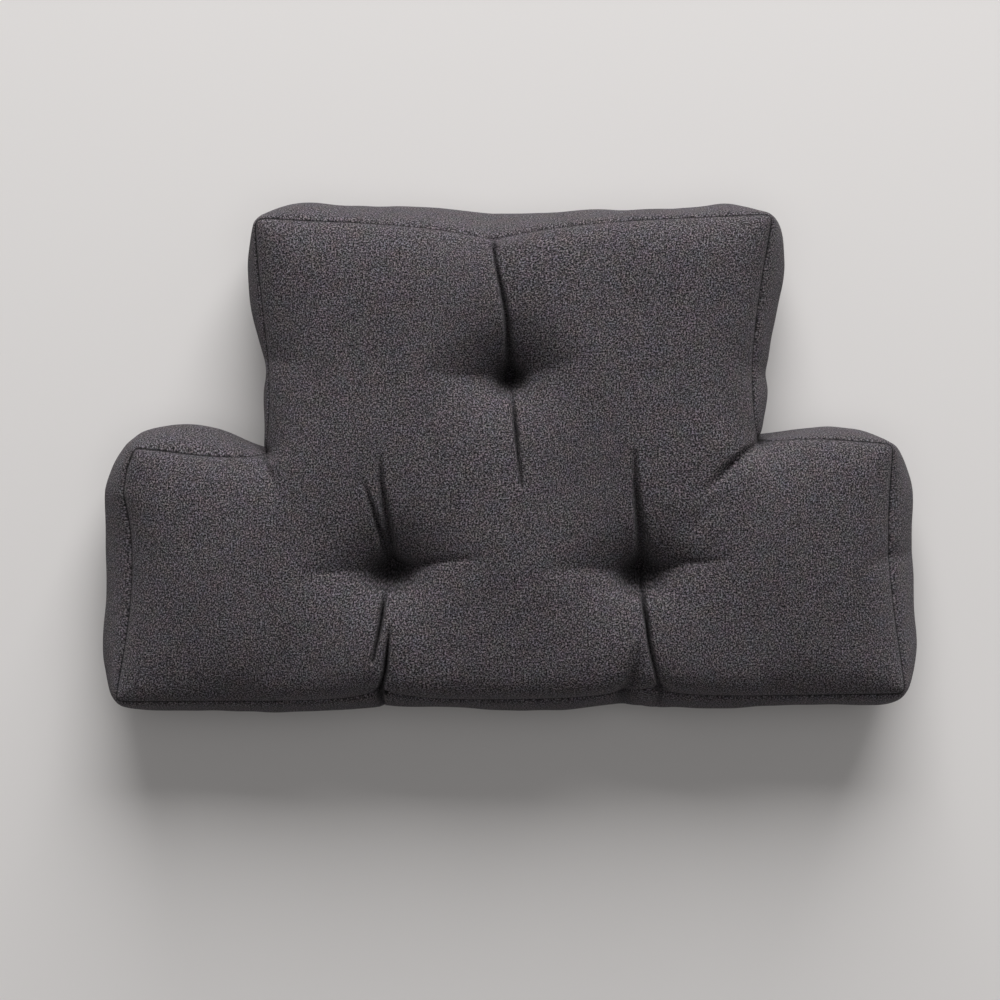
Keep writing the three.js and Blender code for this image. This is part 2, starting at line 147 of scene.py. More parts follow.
def grid_lines(start, stop, cells, tufts):
    at = np.linspace(start, stop, LINE_SAMPLES)
    near_tuft = [np.exp(-((at - tuft) / TUFT_FOCUS["reach"]) ** 2) for tuft in tufts]
    near_seam = np.exp(-((at - start) / SEAM_FOCUS["reach"]) ** 2)
    near_seam += np.exp(-((at - stop) / SEAM_FOCUS["reach"]) ** 2)
    density = 1 + TUFT_FOCUS["gain"] * np.max(near_tuft, axis=0) + SEAM_FOCUS["gain"] * near_seam
    total = np.concatenate([[0], np.cumsum((density[1:] + density[:-1]) / 2)])
    return np.interp(np.linspace(0, total[-1], cells + 1), total, at)


tuft_columns = [tuft["at"][0] for tuft in TUFTS.values()]
tuft_rows = [tuft["at"][1] for tuft in TUFTS.values()]
columns = np.concatenate([
    grid_lines(CUT["left"], CUT["armpit_left"], WING_COLUMNS, tuft_columns),
    grid_lines(CUT["armpit_left"], CUT["armpit_right"], MIDDLE_COLUMNS, tuft_columns)[1:],
    grid_lines(CUT["armpit_right"], CUT["right"], WING_COLUMNS, tuft_columns)[1:],
])
rows = np.concatenate([
    grid_lines(CUT["foot"], CUT["shoulder"], WING_ROWS, tuft_rows),
    grid_lines(CUT["shoulder"], CUT["head"], HEAD_ROWS, tuft_rows)[1:],
])
cut_s, cut_t = np.meshgrid(columns, rows)
HEAD_SPAN = slice(WING_COLUMNS, WING_COLUMNS + MIDDLE_COLUMNS + 1)
on_panel = np.zeros(cut_s.shape, bool)
on_panel[:WING_ROWS + 1] = True
on_panel[:, HEAD_SPAN] = True

# The seams draw the cut panel in. Four patches are stretched between the drawn-in sides. The tip
# of each pull is rounded, and no pull reaches a corner.
PULL_ROUND = 3
PULL_FADE = 0.1


def smooth(value):
    share = np.clip(value, 0, 1)
    return share * share * (3 - 2 * share)


def mix(start, stop, share):
    return start + (stop - start) * share


def blend(start, stop, share):
    return mix(np.asarray(start, float), np.asarray(stop, float), np.asarray(share)[..., None])


def side_point(side, share, with_pulls):
    start, stop = (np.array(CORNERS[name]["at"], float) for name in side["ends"])
    run = stop - start
    length = np.hypot(*run)
    inward = np.array([-run[1], run[0]]) / length
    skew = math.log(0.5) / math.log(side["peak"])
    drawn = side["drawn"] * np.sin(np.pi * share ** skew)
    for pull in side["pulls"] if with_pulls else []:
        away = np.hypot((share - pull["at"]) * length, PULL_ROUND) - PULL_ROUND
        fade = smooth(np.minimum(share, 1 - share) / PULL_FADE)
        drawn = drawn + pull["depth"] * np.exp(-away / pull["reach"]) * fade
    return blend(start, stop, share) + inward * np.asarray(drawn)[..., None]


def patch(south, east, north, west, u, v):
    along = mix(south(u), north(u), v[..., None])
    across = mix(west(v), east(v), u[..., None])
    ends = np.array([0.0, 1.0])
    low = blend(south(ends)[0], south(ends)[1], u)
    high = blend(north(ends)[0], north(ends)[1], u)
    return along + across - mix(low, high, v[..., None])


# Sewing rounds the outward corners a little. Those of the back panel are drawn in further.
TURNS = [{"depth": 1.0, "reach": 14}, {"depth": 1.0, "reach": 5}]
BACK_TURNS = TURNS + [{"depth": 5.5, "reach": 55}]


def turn_corners(place, turns):
    moved = place.copy()
    for corner in CORNERS.values():
        if corner["inward"]:
            away = np.hypot(*(place - corner["at"]).T).T
            for turn in turns:
                near = np.clip(1 - away / turn["reach"], 0, 1) ** 2
                moved += near[..., None] * np.array(corner["inward"]) * turn["depth"]
    return moved


def panel_places(with_pulls, turns):
    foot, right, wing_right, block_right, head, block_left, wing_left, left = [
        lambda share, side=side: side_point(side, share, with_pulls) for side in SIDES
    ]
    width = CUT["right"] - CUT["left"]
    step_left = (CUT["armpit_left"] - CUT["left"]) / width
    step_right = (CUT["armpit_right"] - CUT["left"]) / width
    armpit_left = CORNERS["armpit_left"]["at"]
    armpit_right = CORNERS["armpit_right"]["at"]

    def line(start, stop):
        return lambda share: blend(start, stop, share)

    def back(edge):
        return lambda share: edge(1 - share)

    def foot_part(start, stop):
        return lambda share: foot(mix(start, stop, share))

    inner_left = line(foot(np.array(step_left)), armpit_left)
    inner_right = line(foot(np.array(step_right)), armpit_right)
    shoulder = line(armpit_left, armpit_right)
    place = np.zeros(cut_s.shape + (2,))
    low, high = slice(0, WING_ROWS + 1), slice(WING_ROWS, None)
    blocks = [
        (low, slice(0, WING_COLUMNS + 1),
         (foot_part(0, step_left), inner_left, back(wing_left), back(left))),
        (low, slice(WING_COLUMNS + MIDDLE_COLUMNS, None),
         (foot_part(step_right, 1), right, back(wing_right), inner_right)),
        (high, HEAD_SPAN, (shoulder, block_right, back(head), back(block_left))),
        (low, HEAD_SPAN,
         (foot_part(step_left, step_right), inner_right, shoulder, inner_left)),
    ]
    for row_span, column_span, edges in blocks:
        s, t = cut_s[row_span, column_span], cut_t[row_span, column_span]
        u = (s - s[0, 0]) / (s[0, -1] - s[0, 0])
        v = (t - t[0, 0]) / (t[-1, 0] - t[0, 0])
        place[row_span, column_span] = patch(*edges, u, v)
    return turn_corners(place, turns)


def inside_box(left, right, low, high):
    across = (cut_s - left) * (right - cut_s) / (right - left)
    up = (cut_t - low) * (high - cut_t) / (high - low)
    return across + up - np.hypot(across, up)


# How far each cut point lies inside the seams: the wide foot joined to the tall middle.
wide = inside_box(CUT["left"], CUT["right"], CUT["foot"], CUT["shoulder"])
tall = inside_box(CUT["armpit_left"], CUT["armpit_right"], CUT["foot"], CUT["head"])
inside = np.maximum(0, wide + tall + np.hypot(wide, tall))

# The filling lifts the face in three steps: a quick turn out of the seam, a rounded edge, and a
# low crown over the middle.
CROWN = [{"rise": 2.4, "reach": 1.2}, {"rise": 20, "reach": 19}, {"rise": 9, "reach": 130}]

# Each tuft is a deep pit in a wider hollow: slack cloth above it, a steep lip below it.
PIT = {"depth": 20, "side": 12, "above": 15, "below": 7}
HOLLOW_REACH = 36
CORE = {"depth": 42, "power": 2.2}
DEEPEST = {"depth": 92, "round": 6}

# Creases that run out of the tufts and the armpits, with their depth and the half widths to the
# left and the right of their run, from start to end. Sharp ones have a fold down their middle,
# where the cloth meets itself. Each fold's last list is how much painted shade darkens the colour
# down its middle, in full once the fold is deep enough. Those with a rounding are soft valleys.
CREASES = {
    "head_up": {"path": [(2, 57.5), (0.5, 80), (-0.5, 98), (-3, 113), (-6, 127), (-9, 141),
                         (-11, 158)],
                "depth": (8, 4), "left": (1.5, 1.5), "right": (18, 9),
                "fold": {"depth": (26, 15, 4), "half": (4, 1.5, 1), "tuck": (0, 0.3, 1)}},
    "head_down": {"path": [(2, 57.5), (3, 45), (4.8, 27), (6.8, 5), (9.5, -18)],
                  "depth": (4, 0), "left": (8, 6), "right": (8, 6),
                  "fold": {"depth": (2, 10, 5), "half": (1.2, 1.4, 1.3), "tuck": (1, 1, 1)}},
    "head_left": {"path": [(2, 57.5), (-28, 60), (-62, 62)], "round": 1.5,
                  "depth": (19, 0), "left": (8, 14), "right": (14, 18)},
    "head_right": {"path": [(2, 57.5), (31, 66), (56, 76)], "round": 1.5,
                   "depth": (12, 0), "left": (14, 18), "right": (8, 14)},
    "left_up": {"path": [(-86, -84), (-86, -60), (-92, -16), (-93, 6)],
                "depth": (5, 0), "left": (1.5, 1.5), "right": (16, 7),
                "fold": {"depth": (20, 15, 0), "half": (4, 2.4, 1.4), "tuck": (0, 0.2, 0.6)}},
    "left_up_twin": {"path": [(-86, -84), (-92, -58), (-98.5, -34), (-106.5, -10)],
                     "depth": (4, 0), "left": (8, 5), "right": (2, 2),
                     "fold": {"depth": (20, 12, 0), "half": (3.4, 1.6, 1), "tuck": (0, 0.2, 0.6)}},
    "left_up_between": {"path": [(-86, -84), (-90, -62), (-95, -34)], "round": 1.5,
                        "depth": (12, 0), "left": (6, 4), "right": (6, 4)},
    "left_right": {"path": [(-86, -84), (-52, -75), (-16, -70)], "round": 1.5,
                   "depth": (15, 0), "left": (14, 18), "right": (7, 13),
                   "fold": {"depth": (10, 2.5, 0), "half": (5, 2.6, 2), "tuck": (0, 0.3, 0.3)}},
    "left_left": {"path": [(-86, -84), (-123, -82), (-158, -84)], "round": 1.5,
                  "depth": (18, 0), "left": (9, 15), "right": (14, 20)},
    "left_down": {"path": [(-86, -84), (-89.5, -98), (-90.8, -105), (-93.2, -122), (-97, -140),
                           (-98.5, -147)],
                  "depth": (4, 0), "left": (8, 4), "right": (8, 4),
                  "fold": {"depth": (-5, 18, 9), "half": (1.8, 1.3, 1.2), "tuck": (0, 1, 0.8)}},
    "left_down_twin": {"path": [(-86, -118), (-88, -139), (-90, -157), (-94, -170), (-103, -186)],
                       "depth": (0, 7), "left": (8, 8), "right": (6, 6),
                       "fold": {"depth": (0, 18, 9), "half": (1.2, 1.5, 2.2), "tuck": (1, 1, 0.2)}},
    "right_up": {"path": [(100, -85.5), (94.5, -40), (92, -19), (91.5, 6)],
                 "depth": (4, 0), "left": (7, 4), "right": (12, 4),
                 "fold": {"depth": (22, 17, 2), "half": (5, 2.8, 1.4), "tuck": (0, 0.3, 1)}},
    "right_right": {"path": [(100, -85.5), (126, -76), (146, -74), (166, -69)], "round": 1.5,
                    "depth": (15, 0), "left": (14, 18), "right": (8, 14),
                    "fold": {"depth": (10, 2, 0), "half": (5, 3, 2), "tuck": (0, 0.3, 0.3)}},
    "right_left": {"path": [(100, -85.5), (53, -79), (22, -80)], "round": 1.5,
                   "depth": (16, 0), "left": (9, 15), "right": (14, 20)},
    "right_down": {"path": [(100, -85.5), (98.3, -97), (98.7, -108), (100.9, -120), (102.3, -132),
                            (104.5, -143), (107.4, -155), (109.5, -162), (114, -175)],
                   "depth": (4, 6), "left": (8, 6), "right": (8, 12),
                   "fold": {"depth": (9, 17, 5), "half": (2.2, 1.2, 2), "tuck": (0.6, 1, 0.35)}},
    "right_down_twin": {"path": [(95, -132), (94, -150), (91, -163), (84, -174), (78, -184)],
                        "round": 2.5, "depth": (0, 15), "left": (15, 11), "right": (8, 8),
                        "fold": {"depth": (0, 8, 14), "half": (4, 5, 4), "tuck": (0, 0.35, 0.8)}},
    "armpit_right": {"path": [(184, 11), (170, 3), (160, -5), (152, -13), (141, -25)],
                     "depth": (8, 2), "left": (4, 4), "right": (12, 9),
                     "fold": {"depth": (4, 8, 0), "half": (2.6, 2.4, 2), "tuck": (0.5, 0.8, 0.5)}},
    "armpit_right_hole": {"path": [(186, 13), (181, 8)], "round": 1.5,
                          "depth": (4, 0), "left": (4, 3), "right": (4, 3),
                          "fold": {"depth": (16, 12, 0), "half": (3, 2.6, 2), "tuck": (1, 1, 1)}},
    "armpit_right_twin": {"path": [(160, -18), (144, -37), (134, -50)], "round": 2,
                          "depth": (0, 4), "left": (6, 7), "right": (8, 10)},
    "armpit_right_in": {"path": [(182, 9), (156, 8)], "round": 3,
                        "depth": (7, 0), "left": (7, 9), "right": (9, 10)},
    "armpit_left": {"path": [(-177, 3), (-177, -4), (-173, -12), (-171, -18), (-168, -28)],
                    "depth": (8, 2), "left": (9, 8), "right": (4, 4),
                    "fold": {"depth": (5, 4, 0), "half": (2.4, 2.2, 2), "tuck": (0.5, 0.5, 0.5)}},
    "wing_dimple": {"path": [(289, -70), (258, -78)], "round": 3,
                    "depth": (6, 0), "left": (7, 9), "right": (5, 6)},
    "head_dimple_left": {"path": [(-182, 72), (-160, 70), (-136, 68)], "round": 5,
                         "depth": (5, 0), "left": (10, 13), "right": (8, 11)},
    "head_dimple_right": {"path": [(186, 60), (170, 72), (150, 82)], "round": 5,
                          "depth": (5, 0), "left": (10, 13), "right": (8, 11)},
}
SHARP_ROUND = 0.7
FOLD_POWER = 2
# Fold depth at which the painted fold shade is full.
FOLD_FOR_FULL_SHADE = 11


def nearest_on_path(place, path):
    path = np.array(path, float)
    runs = path[1:] - path[:-1]
    lengths = np.hypot(*runs.T)
    before = np.concatenate([[0], np.cumsum(lengths)])
    best = {"distance": np.full(place.shape[:-1], np.inf)}
    for start, run, length, passed in zip(path[:-1], runs, lengths, before):
        away = place - start
        along = np.clip((away @ run) / length ** 2, 0, 1)
        gap = away - along[..., None] * run
        distance = np.hypot(gap[..., 0], gap[..., 1])
        side = (run[0] * away[..., 1] - run[1] * away[..., 0]) / length
        nearer = distance < best["distance"]
        found = {"distance": distance, "share": (passed + along * length) / before[-1],
                 "side": side}
        best = {key: np.where(nearer, value, best.get(key, 0)) for key, value in found.items()}
    leftness = (1 + best["side"] / np.maximum(best["distance"], 1e-6)) / 2
    return best["distance"], best["share"], np.clip(leftness, 0, 1)


def creased(place):
    total = np.zeros(place.shape[:-1])
    folds = np.zeros(place.shape[:-1])
    tucks = np.zeros(place.shape[:-1])
    for crease in CREASES.values():
        distance, share, leftness = nearest_on_path(place, crease["path"])
        left = mix(*crease["left"], share)
        right = mix(*crease["right"], share)
        reach = mix(right, left, leftness)
        rounding = crease.get("round", SHARP_ROUND)
        profile = np.exp((rounding - np.hypot(distance, rounding)) / reach)
        if "fold" in crease:
            depth, half, tuck = (np.interp(share, (0, 0.5, 1), crease["fold"][key])
                                 for key in ("depth", "half", "tuck"))
            fold = depth * np.exp(-(distance / half) ** FOLD_POWER)
            folds = np.maximum(folds, fold)
            # Painted shade for the colour: the deeper the fold, the darker.
            tucks = np.maximum(tucks, tuck * smooth(fold / FOLD_FOR_FULL_SHADE))
        total = np.hypot(total, mix(*crease["depth"], share) * profile)
    return total, folds, tucks


def drawn_in(place):
    total = np.zeros(place.shape[:-1])
    for tuft in TUFTS.values():
        x, y = (place - tuft["at"])[..., 0], (place - tuft["at"])[..., 1]
        reach = np.where(y > 0, PIT["above"], PIT["below"])
        total += PIT["depth"] * np.exp(-np.hypot(x / PIT["side"], y / reach))
        total += tuft["hollow"] * np.exp(-(x * x + y * y) / HOLLOW_REACH ** 2)
        away = np.hypot(x / tuft["wide"], y / tuft["high"])
        total += CORE["depth"] * np.exp(-away ** CORE["power"])
    return total


def corner_share(place, reach):
    outward = [corner["at"] for corner in CORNERS.values() if corner["inward"]]
    away = np.min([np.hypot(*(place - at).T).T for at in outward], axis=0)
    return np.exp(-away / reach)


# Columns that are bent to run down the sharp creases, so that a fold falls on an edge of the mesh.
GUIDES = [
    {"column": 2, "path": [(9.5, -18), (6.8, 5), (4.8, 27), (3, 45), (2, 57.5), (0.5, 80),
                           (-0.5, 98), (-3, 113), (-6, 127), (-9, 141), (-11, 158)]},
    {"column": -90, "path": [(-101, -160), (-98.5, -147), (-97, -140), (-93.2, -122), (-90.8, -105),
                             (-89.5, -98), (-86, -84), (-86, -60), (-92, -16), (-93, 6)]},
    {"column": 100, "path": [(114, -175), (109.5, -162), (107.4, -155), (104.5, -143),
                             (102.3, -132), (100.9, -120), (98.7, -108), (98.3, -97),
                             (100, -85.5), (94.5, -40), (92, -19), (91.5, 6)]},
]
GUIDE_REACH = 62
GUIDE_FADE = 40
GUIDE_EDGE = 12


def guide_shift(place):
    x, y = place[..., 0], place[..., 1]
    shift = np.zeros(x.shape)
    for guide in GUIDES:
        path_x, path_y = np.array(guide["path"], float).T
        column = columns[np.argmin(np.abs(columns - guide["column"]))]
        wanted = np.interp(y, path_y, path_x) - column
        fade = 1 - smooth(np.abs(y - np.clip(y, path_y[0], path_y[-1])) / GUIDE_FADE)
        shift += wanted * fade * (1 - smooth(np.abs(x - column) / GUIDE_REACH))
    return shift


# The filling is never even: long low waves run through the cover, as if it had been handled.
WAVES = [{"length": 120, "height": 1.0}, {"length": 55, "height": 0.5},
         {"length": 24, "height": 0.22}]
WAVES_PER_LENGTH = 9
WAVE_FADE = 15
random = np.random.default_rng(7)


def waves(points):
    total = np.zeros(points.shape[:-1])
    for wave in WAVES:
        for _ in range(WAVES_PER_LENGTH):
            heading = random.normal(size=3)
            heading *= 2 * np.pi / wave["length"] / np.linalg.norm(heading)
            phase = random.uniform(0, 2 * np.pi)
            total += np.sin(points @ heading + phase) * wave["height"] / WAVES_PER_LENGTH ** 0.5
    return total


face_place = panel_places(True, TURNS)
face_place[..., 0] += guide_shift(face_place) * smooth(inside / GUIDE_EDGE)
crown = sum(step["rise"] * (1 - np.exp(-inside / step["reach"])) for step in CROWN)
corner_rise = CORNER_SPREAD["rise"] * corner_share(face_place, CORNER_SPREAD["reach"])
face_height = FRONT_SEAM_HEIGHT + corner_rise + crown
shoulders, folds, tucks = creased(face_place)
face_depth = drawn_in(face_place) + shoulders + folds
limit = DEEPEST["depth"] / DEEPEST["round"]
face_height += DEEPEST["round"] * np.logaddexp(-face_depth / DEEPEST["round"], -limit)
face = np.dstack([face_place, face_height])
face[..., 2] += waves(face) * smooth(inside / WAVE_FADE)

# The back panel is flat where it lies, with a rolled rim and a dimple behind each tuft. Its
# corners stand in a little from those of the front.
BACK_RIM = 38
BACK_DIMPLE = {"depth": 12, "reach": 34}

back_place = panel_places(False, BACK_TURNS)
back_height = BACK_SEAM_HEIGHT - CORNER_SPREAD["rise"] * corner_share(back_place, CORNER_SPREAD["reach"])
back_height = back_height * np.clip(1 - inside / BACK_RIM, 0, 1) ** 2
for tuft in TUFTS.values():
    away = np.hypot(*(back_place - tuft["at"]).T).T / BACK_DIMPLE["reach"]
    back_height += BACK_DIMPLE["depth"] * np.clip(1 - away, 0, 1) ** 2
back_panel = np.dstack([back_place, back_height])

# The boxing strip runs round the outline and swells between its two seams, in rings from the
# front seam down to the back seam. It turns out quickly at each seam. A fold that reaches it runs
# on over a part of its width.
STRIP_BANDS = 20
STRIP_WIDTH = 84
CORNER_BELLY = -1
BELLY_REACH = 16
BELLY_POWER = 0.8
BELLY_FADE_POWER = 1.5
STRIP_TURN = {"rise": 1.8, "reach": 0.02}
OUTWARD_SPREAD = 6
STRIP_FOLD = {"fade": 0.5, "share": 0.3}

last_column, last_row = len(columns) - 1, len(rows) - 1
head_first, head_last = HEAD_SPAN.start, HEAD_SPAN.stop - 1
outline_turns = [(0, 0), (0, last_column), (WING_ROWS, last_column), (WING_ROWS, head_last),
                 (last_row, head_last), (last_row, head_first), (WING_ROWS, head_first),
                 (WING_ROWS, 0)]
outline = []
outline_side = []
for k, (row, column) in enumerate(outline_turns):
    next_row, next_column = outline_turns[(k + 1) % len(outline_turns)]
    steps = abs(next_row - row) + abs(next_column - column)
    for n in range(steps):
        outline.append((row + (next_row - row) * n // steps,
                        column + (next_column - column) * n // steps))
        outline_side.append(k)
outline = np.array(outline)
outline_side = np.array(outline_side)
seam_front = face[outline[:, 0], outline[:, 1]]
seam_back = back_panel[outline[:, 0], outline[:, 1]]

belly = np.zeros(len(outline))
for k, side in enumerate(SIDES):
    here = outline_side == k
    ends = [CORNERS[name] for name in side["ends"]]
    first, last = (np.array(end["at"], float) for end in ends)
    share = ((seam_back[here, :2] - first) @ (last - first)) / np.sum((last - first) ** 2)
    swell = mix(*side["belly"], share)
    for pinch in side["pinches"]:
        away = (share - pinch["at"]) * np.hypot(*(last - first)) / pinch["reach"]
        swell = swell - pinch["depth"] * np.exp(-away ** 2)
    for end in ends:
        away = np.hypot(*(seam_back[here, :2] - end["at"]).T)
        near = np.exp(-(away / BELLY_REACH) ** BELLY_FADE_POWER)
        swell = mix(swell, end.get("belly", side.get("corner_belly", CORNER_BELLY)), near)
    belly[here] = swell

run = np.roll(seam_front, -1, axis=0)[:, :2] - np.roll(seam_front, 1, axis=0)[:, :2]
outward = np.stack([run[:, 1], -run[:, 0]], axis=1) / np.hypot(*run.T)[:, None]


def evened_round(values):
    spread = np.arange(-3 * OUTWARD_SPREAD, 3 * OUTWARD_SPREAD + 1)
    weights = np.exp(-(spread / OUTWARD_SPREAD) ** 2)
    return sum(w * np.roll(values, d, axis=0) for d, w in zip(spread, weights)) / weights.sum()


outward = evened_round(outward)
belly = evened_round(belly)

down = (1 - np.cos(np.pi * np.linspace(0, 1, STRIP_BANDS + 1))) / 2
swell = np.sin(np.pi * down) ** BELLY_POWER
turn = STRIP_TURN["rise"] * (1 - np.exp(-np.minimum(down, 1 - down) / STRIP_TURN["reach"]))
strip = mix(seam_front[None], seam_back[None], down[:, None, None])
_, strip_folds, strip_tucks = creased(strip[..., :2])
strip_fade = 1 - smooth(down / STRIP_FOLD["fade"])[:, None]
swell_out = belly * swell[:, None] + turn[:, None] + waves(strip) * swell[:, None]
swell_out -= STRIP_FOLD["share"] * strip_folds * strip_fade * swell[:, None]
strip[..., :2] += outward * swell_out[..., None]

# The three are joined at their seams into one closed cover. The back panel uses every fourth line.
BACK_STEP = 4
face_ids = np.full(cut_s.shape, -1)
face_ids[on_panel] = np.arange(on_panel.sum())
points = [face[on_panel]]
count = on_panel.sum()
strip_ids = np.empty((STRIP_BANDS, len(outline)), int)
strip_ids[0] = face_ids[outline[:, 0], outline[:, 1]]
strip_ids[1:] = count + np.arange((STRIP_BANDS - 1) * len(outline)).reshape(STRIP_BANDS - 1, -1)
points.append(strip[1:STRIP_BANDS].reshape(-1, 3))
count += (STRIP_BANDS - 1) * len(outline)
on_back = np.zeros(cut_s.shape, bool)
on_back[::BACK_STEP, ::BACK_STEP] = on_panel[::BACK_STEP, ::BACK_STEP]
back_ids = np.full(cut_s.shape, -1)
back_ids[on_back] = count + np.arange(on_back.sum())
points.append(back_panel[on_back])


def cells(ids, yarn, order):
    corners = [(slice(None, -1), slice(None, -1)), (slice(None, -1), slice(1, None)),
               (slice(1, None), slice(1, None)), (slice(1, None), slice(None, -1))]
    corner_ids = np.stack([ids[corner] for corner in corners], axis=-1)
    corner_yarn = np.stack([yarn[corner] for corner in corners], axis=-2)
    whole = (corner_ids >= 0).all(axis=-1)
    return corner_ids[whole][:, order], corner_yarn[whole][:, order]


# Where each point lies along the yarns of its own panel, measured over the crown: the two seams
# break the weave.
def along_yarns(cut, axis):
    lengths = np.hypot(np.diff(cut, axis=axis), np.diff(crown, axis=axis))
    total = np.insert(np.cumsum(lengths, axis=axis), 0, 0, axis=axis)
    return total - total.take([cut.shape[axis] // 2], axis=axis)


cut_yarn = np.dstack([along_yarns(cut_s, 1), along_yarns(cut_t, 0)])
belly_ring = strip[STRIP_BANDS // 2, :, :2]
steps = np.hypot(*(np.roll(belly_ring, -1, axis=0) - belly_ring).T)
strip_along = np.concatenate([[0], np.cumsum(steps)])
strip_across = down * STRIP_WIDTH
strip_yarn = np.dstack(np.meshgrid(strip_along, strip_across))
around = np.concatenate([strip_ids, strip_ids[:, :1]], axis=1)
faces = [
    cells(face_ids, cut_yarn, [0, 1, 2, 3]),
    cells(around, strip_yarn[:-1], [3, 2, 1, 0]),
    cells(back_ids[::BACK_STEP, ::BACK_STEP], cut_yarn[::BACK_STEP, ::BACK_STEP], [3, 2, 1, 0]),
]
rim = back_ids[outline[::BACK_STEP, 0], outline[::BACK_STEP, 1]]
rim_next = np.roll(rim, -1)
half_step = BACK_STEP // 2


def on_ring(n):
    ids = np.roll(strip_ids[-1], -n)[::BACK_STEP]
    return ids, strip_yarn[-2, n:][::BACK_STEP][:len(ids)]


low = strip_yarn[-1, ::BACK_STEP]
for n in range(BACK_STEP):
    near_id, near_yarn = (rim, low[:-1]) if n < half_step else (rim_next, low[1:])
    here, here_yarn = on_ring(n)
    after, after_yarn = on_ring(n + 1)
    faces.append((np.stack([near_id, after, here], axis=1),
                  np.stack([near_yarn, after_yarn, here_yarn], axis=1)))
middle, middle_yarn = on_ring(half_step)
faces.append((np.stack([rim, rim_next, middle], axis=1),
              np.stack([low[:-1], low[1:], middle_yarn], axis=1)))

points = np.concatenate(points)
middle_of_footprint = (points[:, :2].min(axis=0) + points[:, :2].max(axis=0)) / 2
points[:, :2] -= middle_of_footprint
cover_mesh = bpy.data.meshes.new("cushion_cover")
cover_mesh.from_pydata((points / 1000).tolist(), [],
                       [face for corner_ids, _ in faces for face in corner_ids.tolist()])
yarn_map = cover_mesh.uv_layers.new(name="yarns")
yarn_places = np.concatenate([corner_yarn.reshape(-1, 2) for _, corner_yarn in faces]) / 1000
yarn_map.uv.foreach_set("vector", yarn_places.astype(np.float32).ravel())

# Painted shade along the seams: the colour is darkened in a thin line at each seam, where shade
# falls. The line is darkest near the corners, where the seam is tight, and fades between them.
SEAM_SHADE_REACH = 80
SEAM_SHADE_LIFT = 0.36
seam_shade_lift = SEAM_SHADE_LIFT * (1 - corner_share(face_place, SEAM_SHADE_REACH))
seam_shade_lift_round = seam_shade_lift[outline[:, 0], outline[:, 1]]
across_strip = np.minimum(down, 1 - down)[1:STRIP_BANDS] * STRIP_WIDTH
to_seam = np.concatenate([
    (inside + seam_shade_lift)[on_panel],
    (across_strip[:, None] + seam_shade_lift_round).ravel(),
    (inside + seam_shade_lift)[on_back],
]) / 1000
seam_map = cover_mesh.attributes.new("to_seam", "FLOAT", "POINT")
seam_map.data.foreach_set("value", to_seam.astype(np.float32))
# Painted shade in the deep folds of the face and the strip, kept for the cloth's colour.
tucked = np.concatenate([tucks[on_panel], (strip_tucks * strip_fade)[1:STRIP_BANDS].ravel(),
                         np.zeros(on_back.sum())])
tuck_map = cover_mesh.attributes.new("tucked", "FLOAT", "POINT")
tuck_map.data.foreach_set("value", tucked.astype(np.float32))
cover_mesh.shade_smooth()
cover = bpy.data.objects.new("cushion_cover", cover_mesh)
bpy.context.scene.collection.objects.link(cover)

# Charcoal melange cloth: a plain weave of thick yarns, each spun from pale and near black fibres,
# so that every crossing has its own tone. The map gives metres along the yarns.
YARN_PITCH = 0.00062
YARN_WOBBLE = {"scale": 130.0, "shift": 0.0003}
YARN_DIP = 0.45
HEATHER_SCALE = 860.0
FIBRE_SCALE = 2600.0
CLOUD_SCALE = 22.0
# The last tone share paints shade into the weave: the tone follows the height of the yarns, darker in
# the dips between them.
TONE_SHARES = {"lot": 0.44, "heather": 1.76, "fibre": 0.3, "cloud": 0.05, "painted_yarn_shade": 0.12}
TONE_SHIFT = 0.79
TONES = [(0.0, (0.001, 0.0009, 0.001)), (0.2, (0.005, 0.0045, 0.005)),
         (0.42, (0.0295, 0.026, 0.029)), (0.62, (0.069, 0.061, 0.068)),
         (1.0, (0.212, 0.188, 0.207))]

cloth = bpy.data.materials.new("charcoal_melange")
cloth.use_nodes = True
nodes = cloth.node_tree.nodes
links = cloth.node_tree.links
shader = nodes["Principled BSDF"]


def join(source, target):
    links.new(source, target)


def worked_out(node_type, operation, values):
    node = nodes.new(node_type)
    node.operation = operation
    for socket, value in zip(node.inputs, values):
        if isinstance(value, bpy.types.NodeSocket):
            join(value, socket)
        else:
            socket.default_value = value
    return node.outputs[0]


def math_node(operation, *values):
    return worked_out("ShaderNodeMath", operation, values)


def vector_node(operation, *values):
    return worked_out("ShaderNodeVectorMath", operation, values)


def noise_node(scale, detail, vector):
    node = nodes.new("ShaderNodeTexNoise")
    node.inputs["Scale"].default_value = scale
    node.inputs["Detail"].default_value = detail
    join(vector, node.inputs["Vector"])
    return node


yarns = nodes.new("ShaderNodeUVMap")
yarns.uv_map = "yarns"
place = nodes.new("ShaderNodeTexCoord").outputs["Object"]
wobble = noise_node(YARN_WOBBLE["scale"], 1.0, place).outputs["Color"]
wobble = vector_node("MULTIPLY", vector_node("SUBTRACT", wobble, (0.5, 0.5, 0.5)),
                     (YARN_WOBBLE["shift"],) * 3)
yarn_place = vector_node("MULTIPLY", vector_node("ADD", yarns.outputs["UV"], wobble),
                         (1 / YARN_PITCH, 1 / YARN_PITCH, 0))
crossing = vector_node("FLOOR", yarn_place)
within = nodes.new("ShaderNodeSeparateXYZ")
join(vector_node("FRACTION", yarn_place), within.inputs[0])
number = nodes.new("ShaderNodeSeparateXYZ")
join(crossing, number.inputs[0])
over = math_node("FLOORED_MODULO", math_node("ADD", number.outputs["X"], number.outputs["Y"]), 2.0)
warp_round = math_node("SINE", math_node("MULTIPLY", within.outputs["X"], math.pi))
weft_round = math_node("SINE", math_node("MULTIPLY", within.outputs["Y"], math.pi))
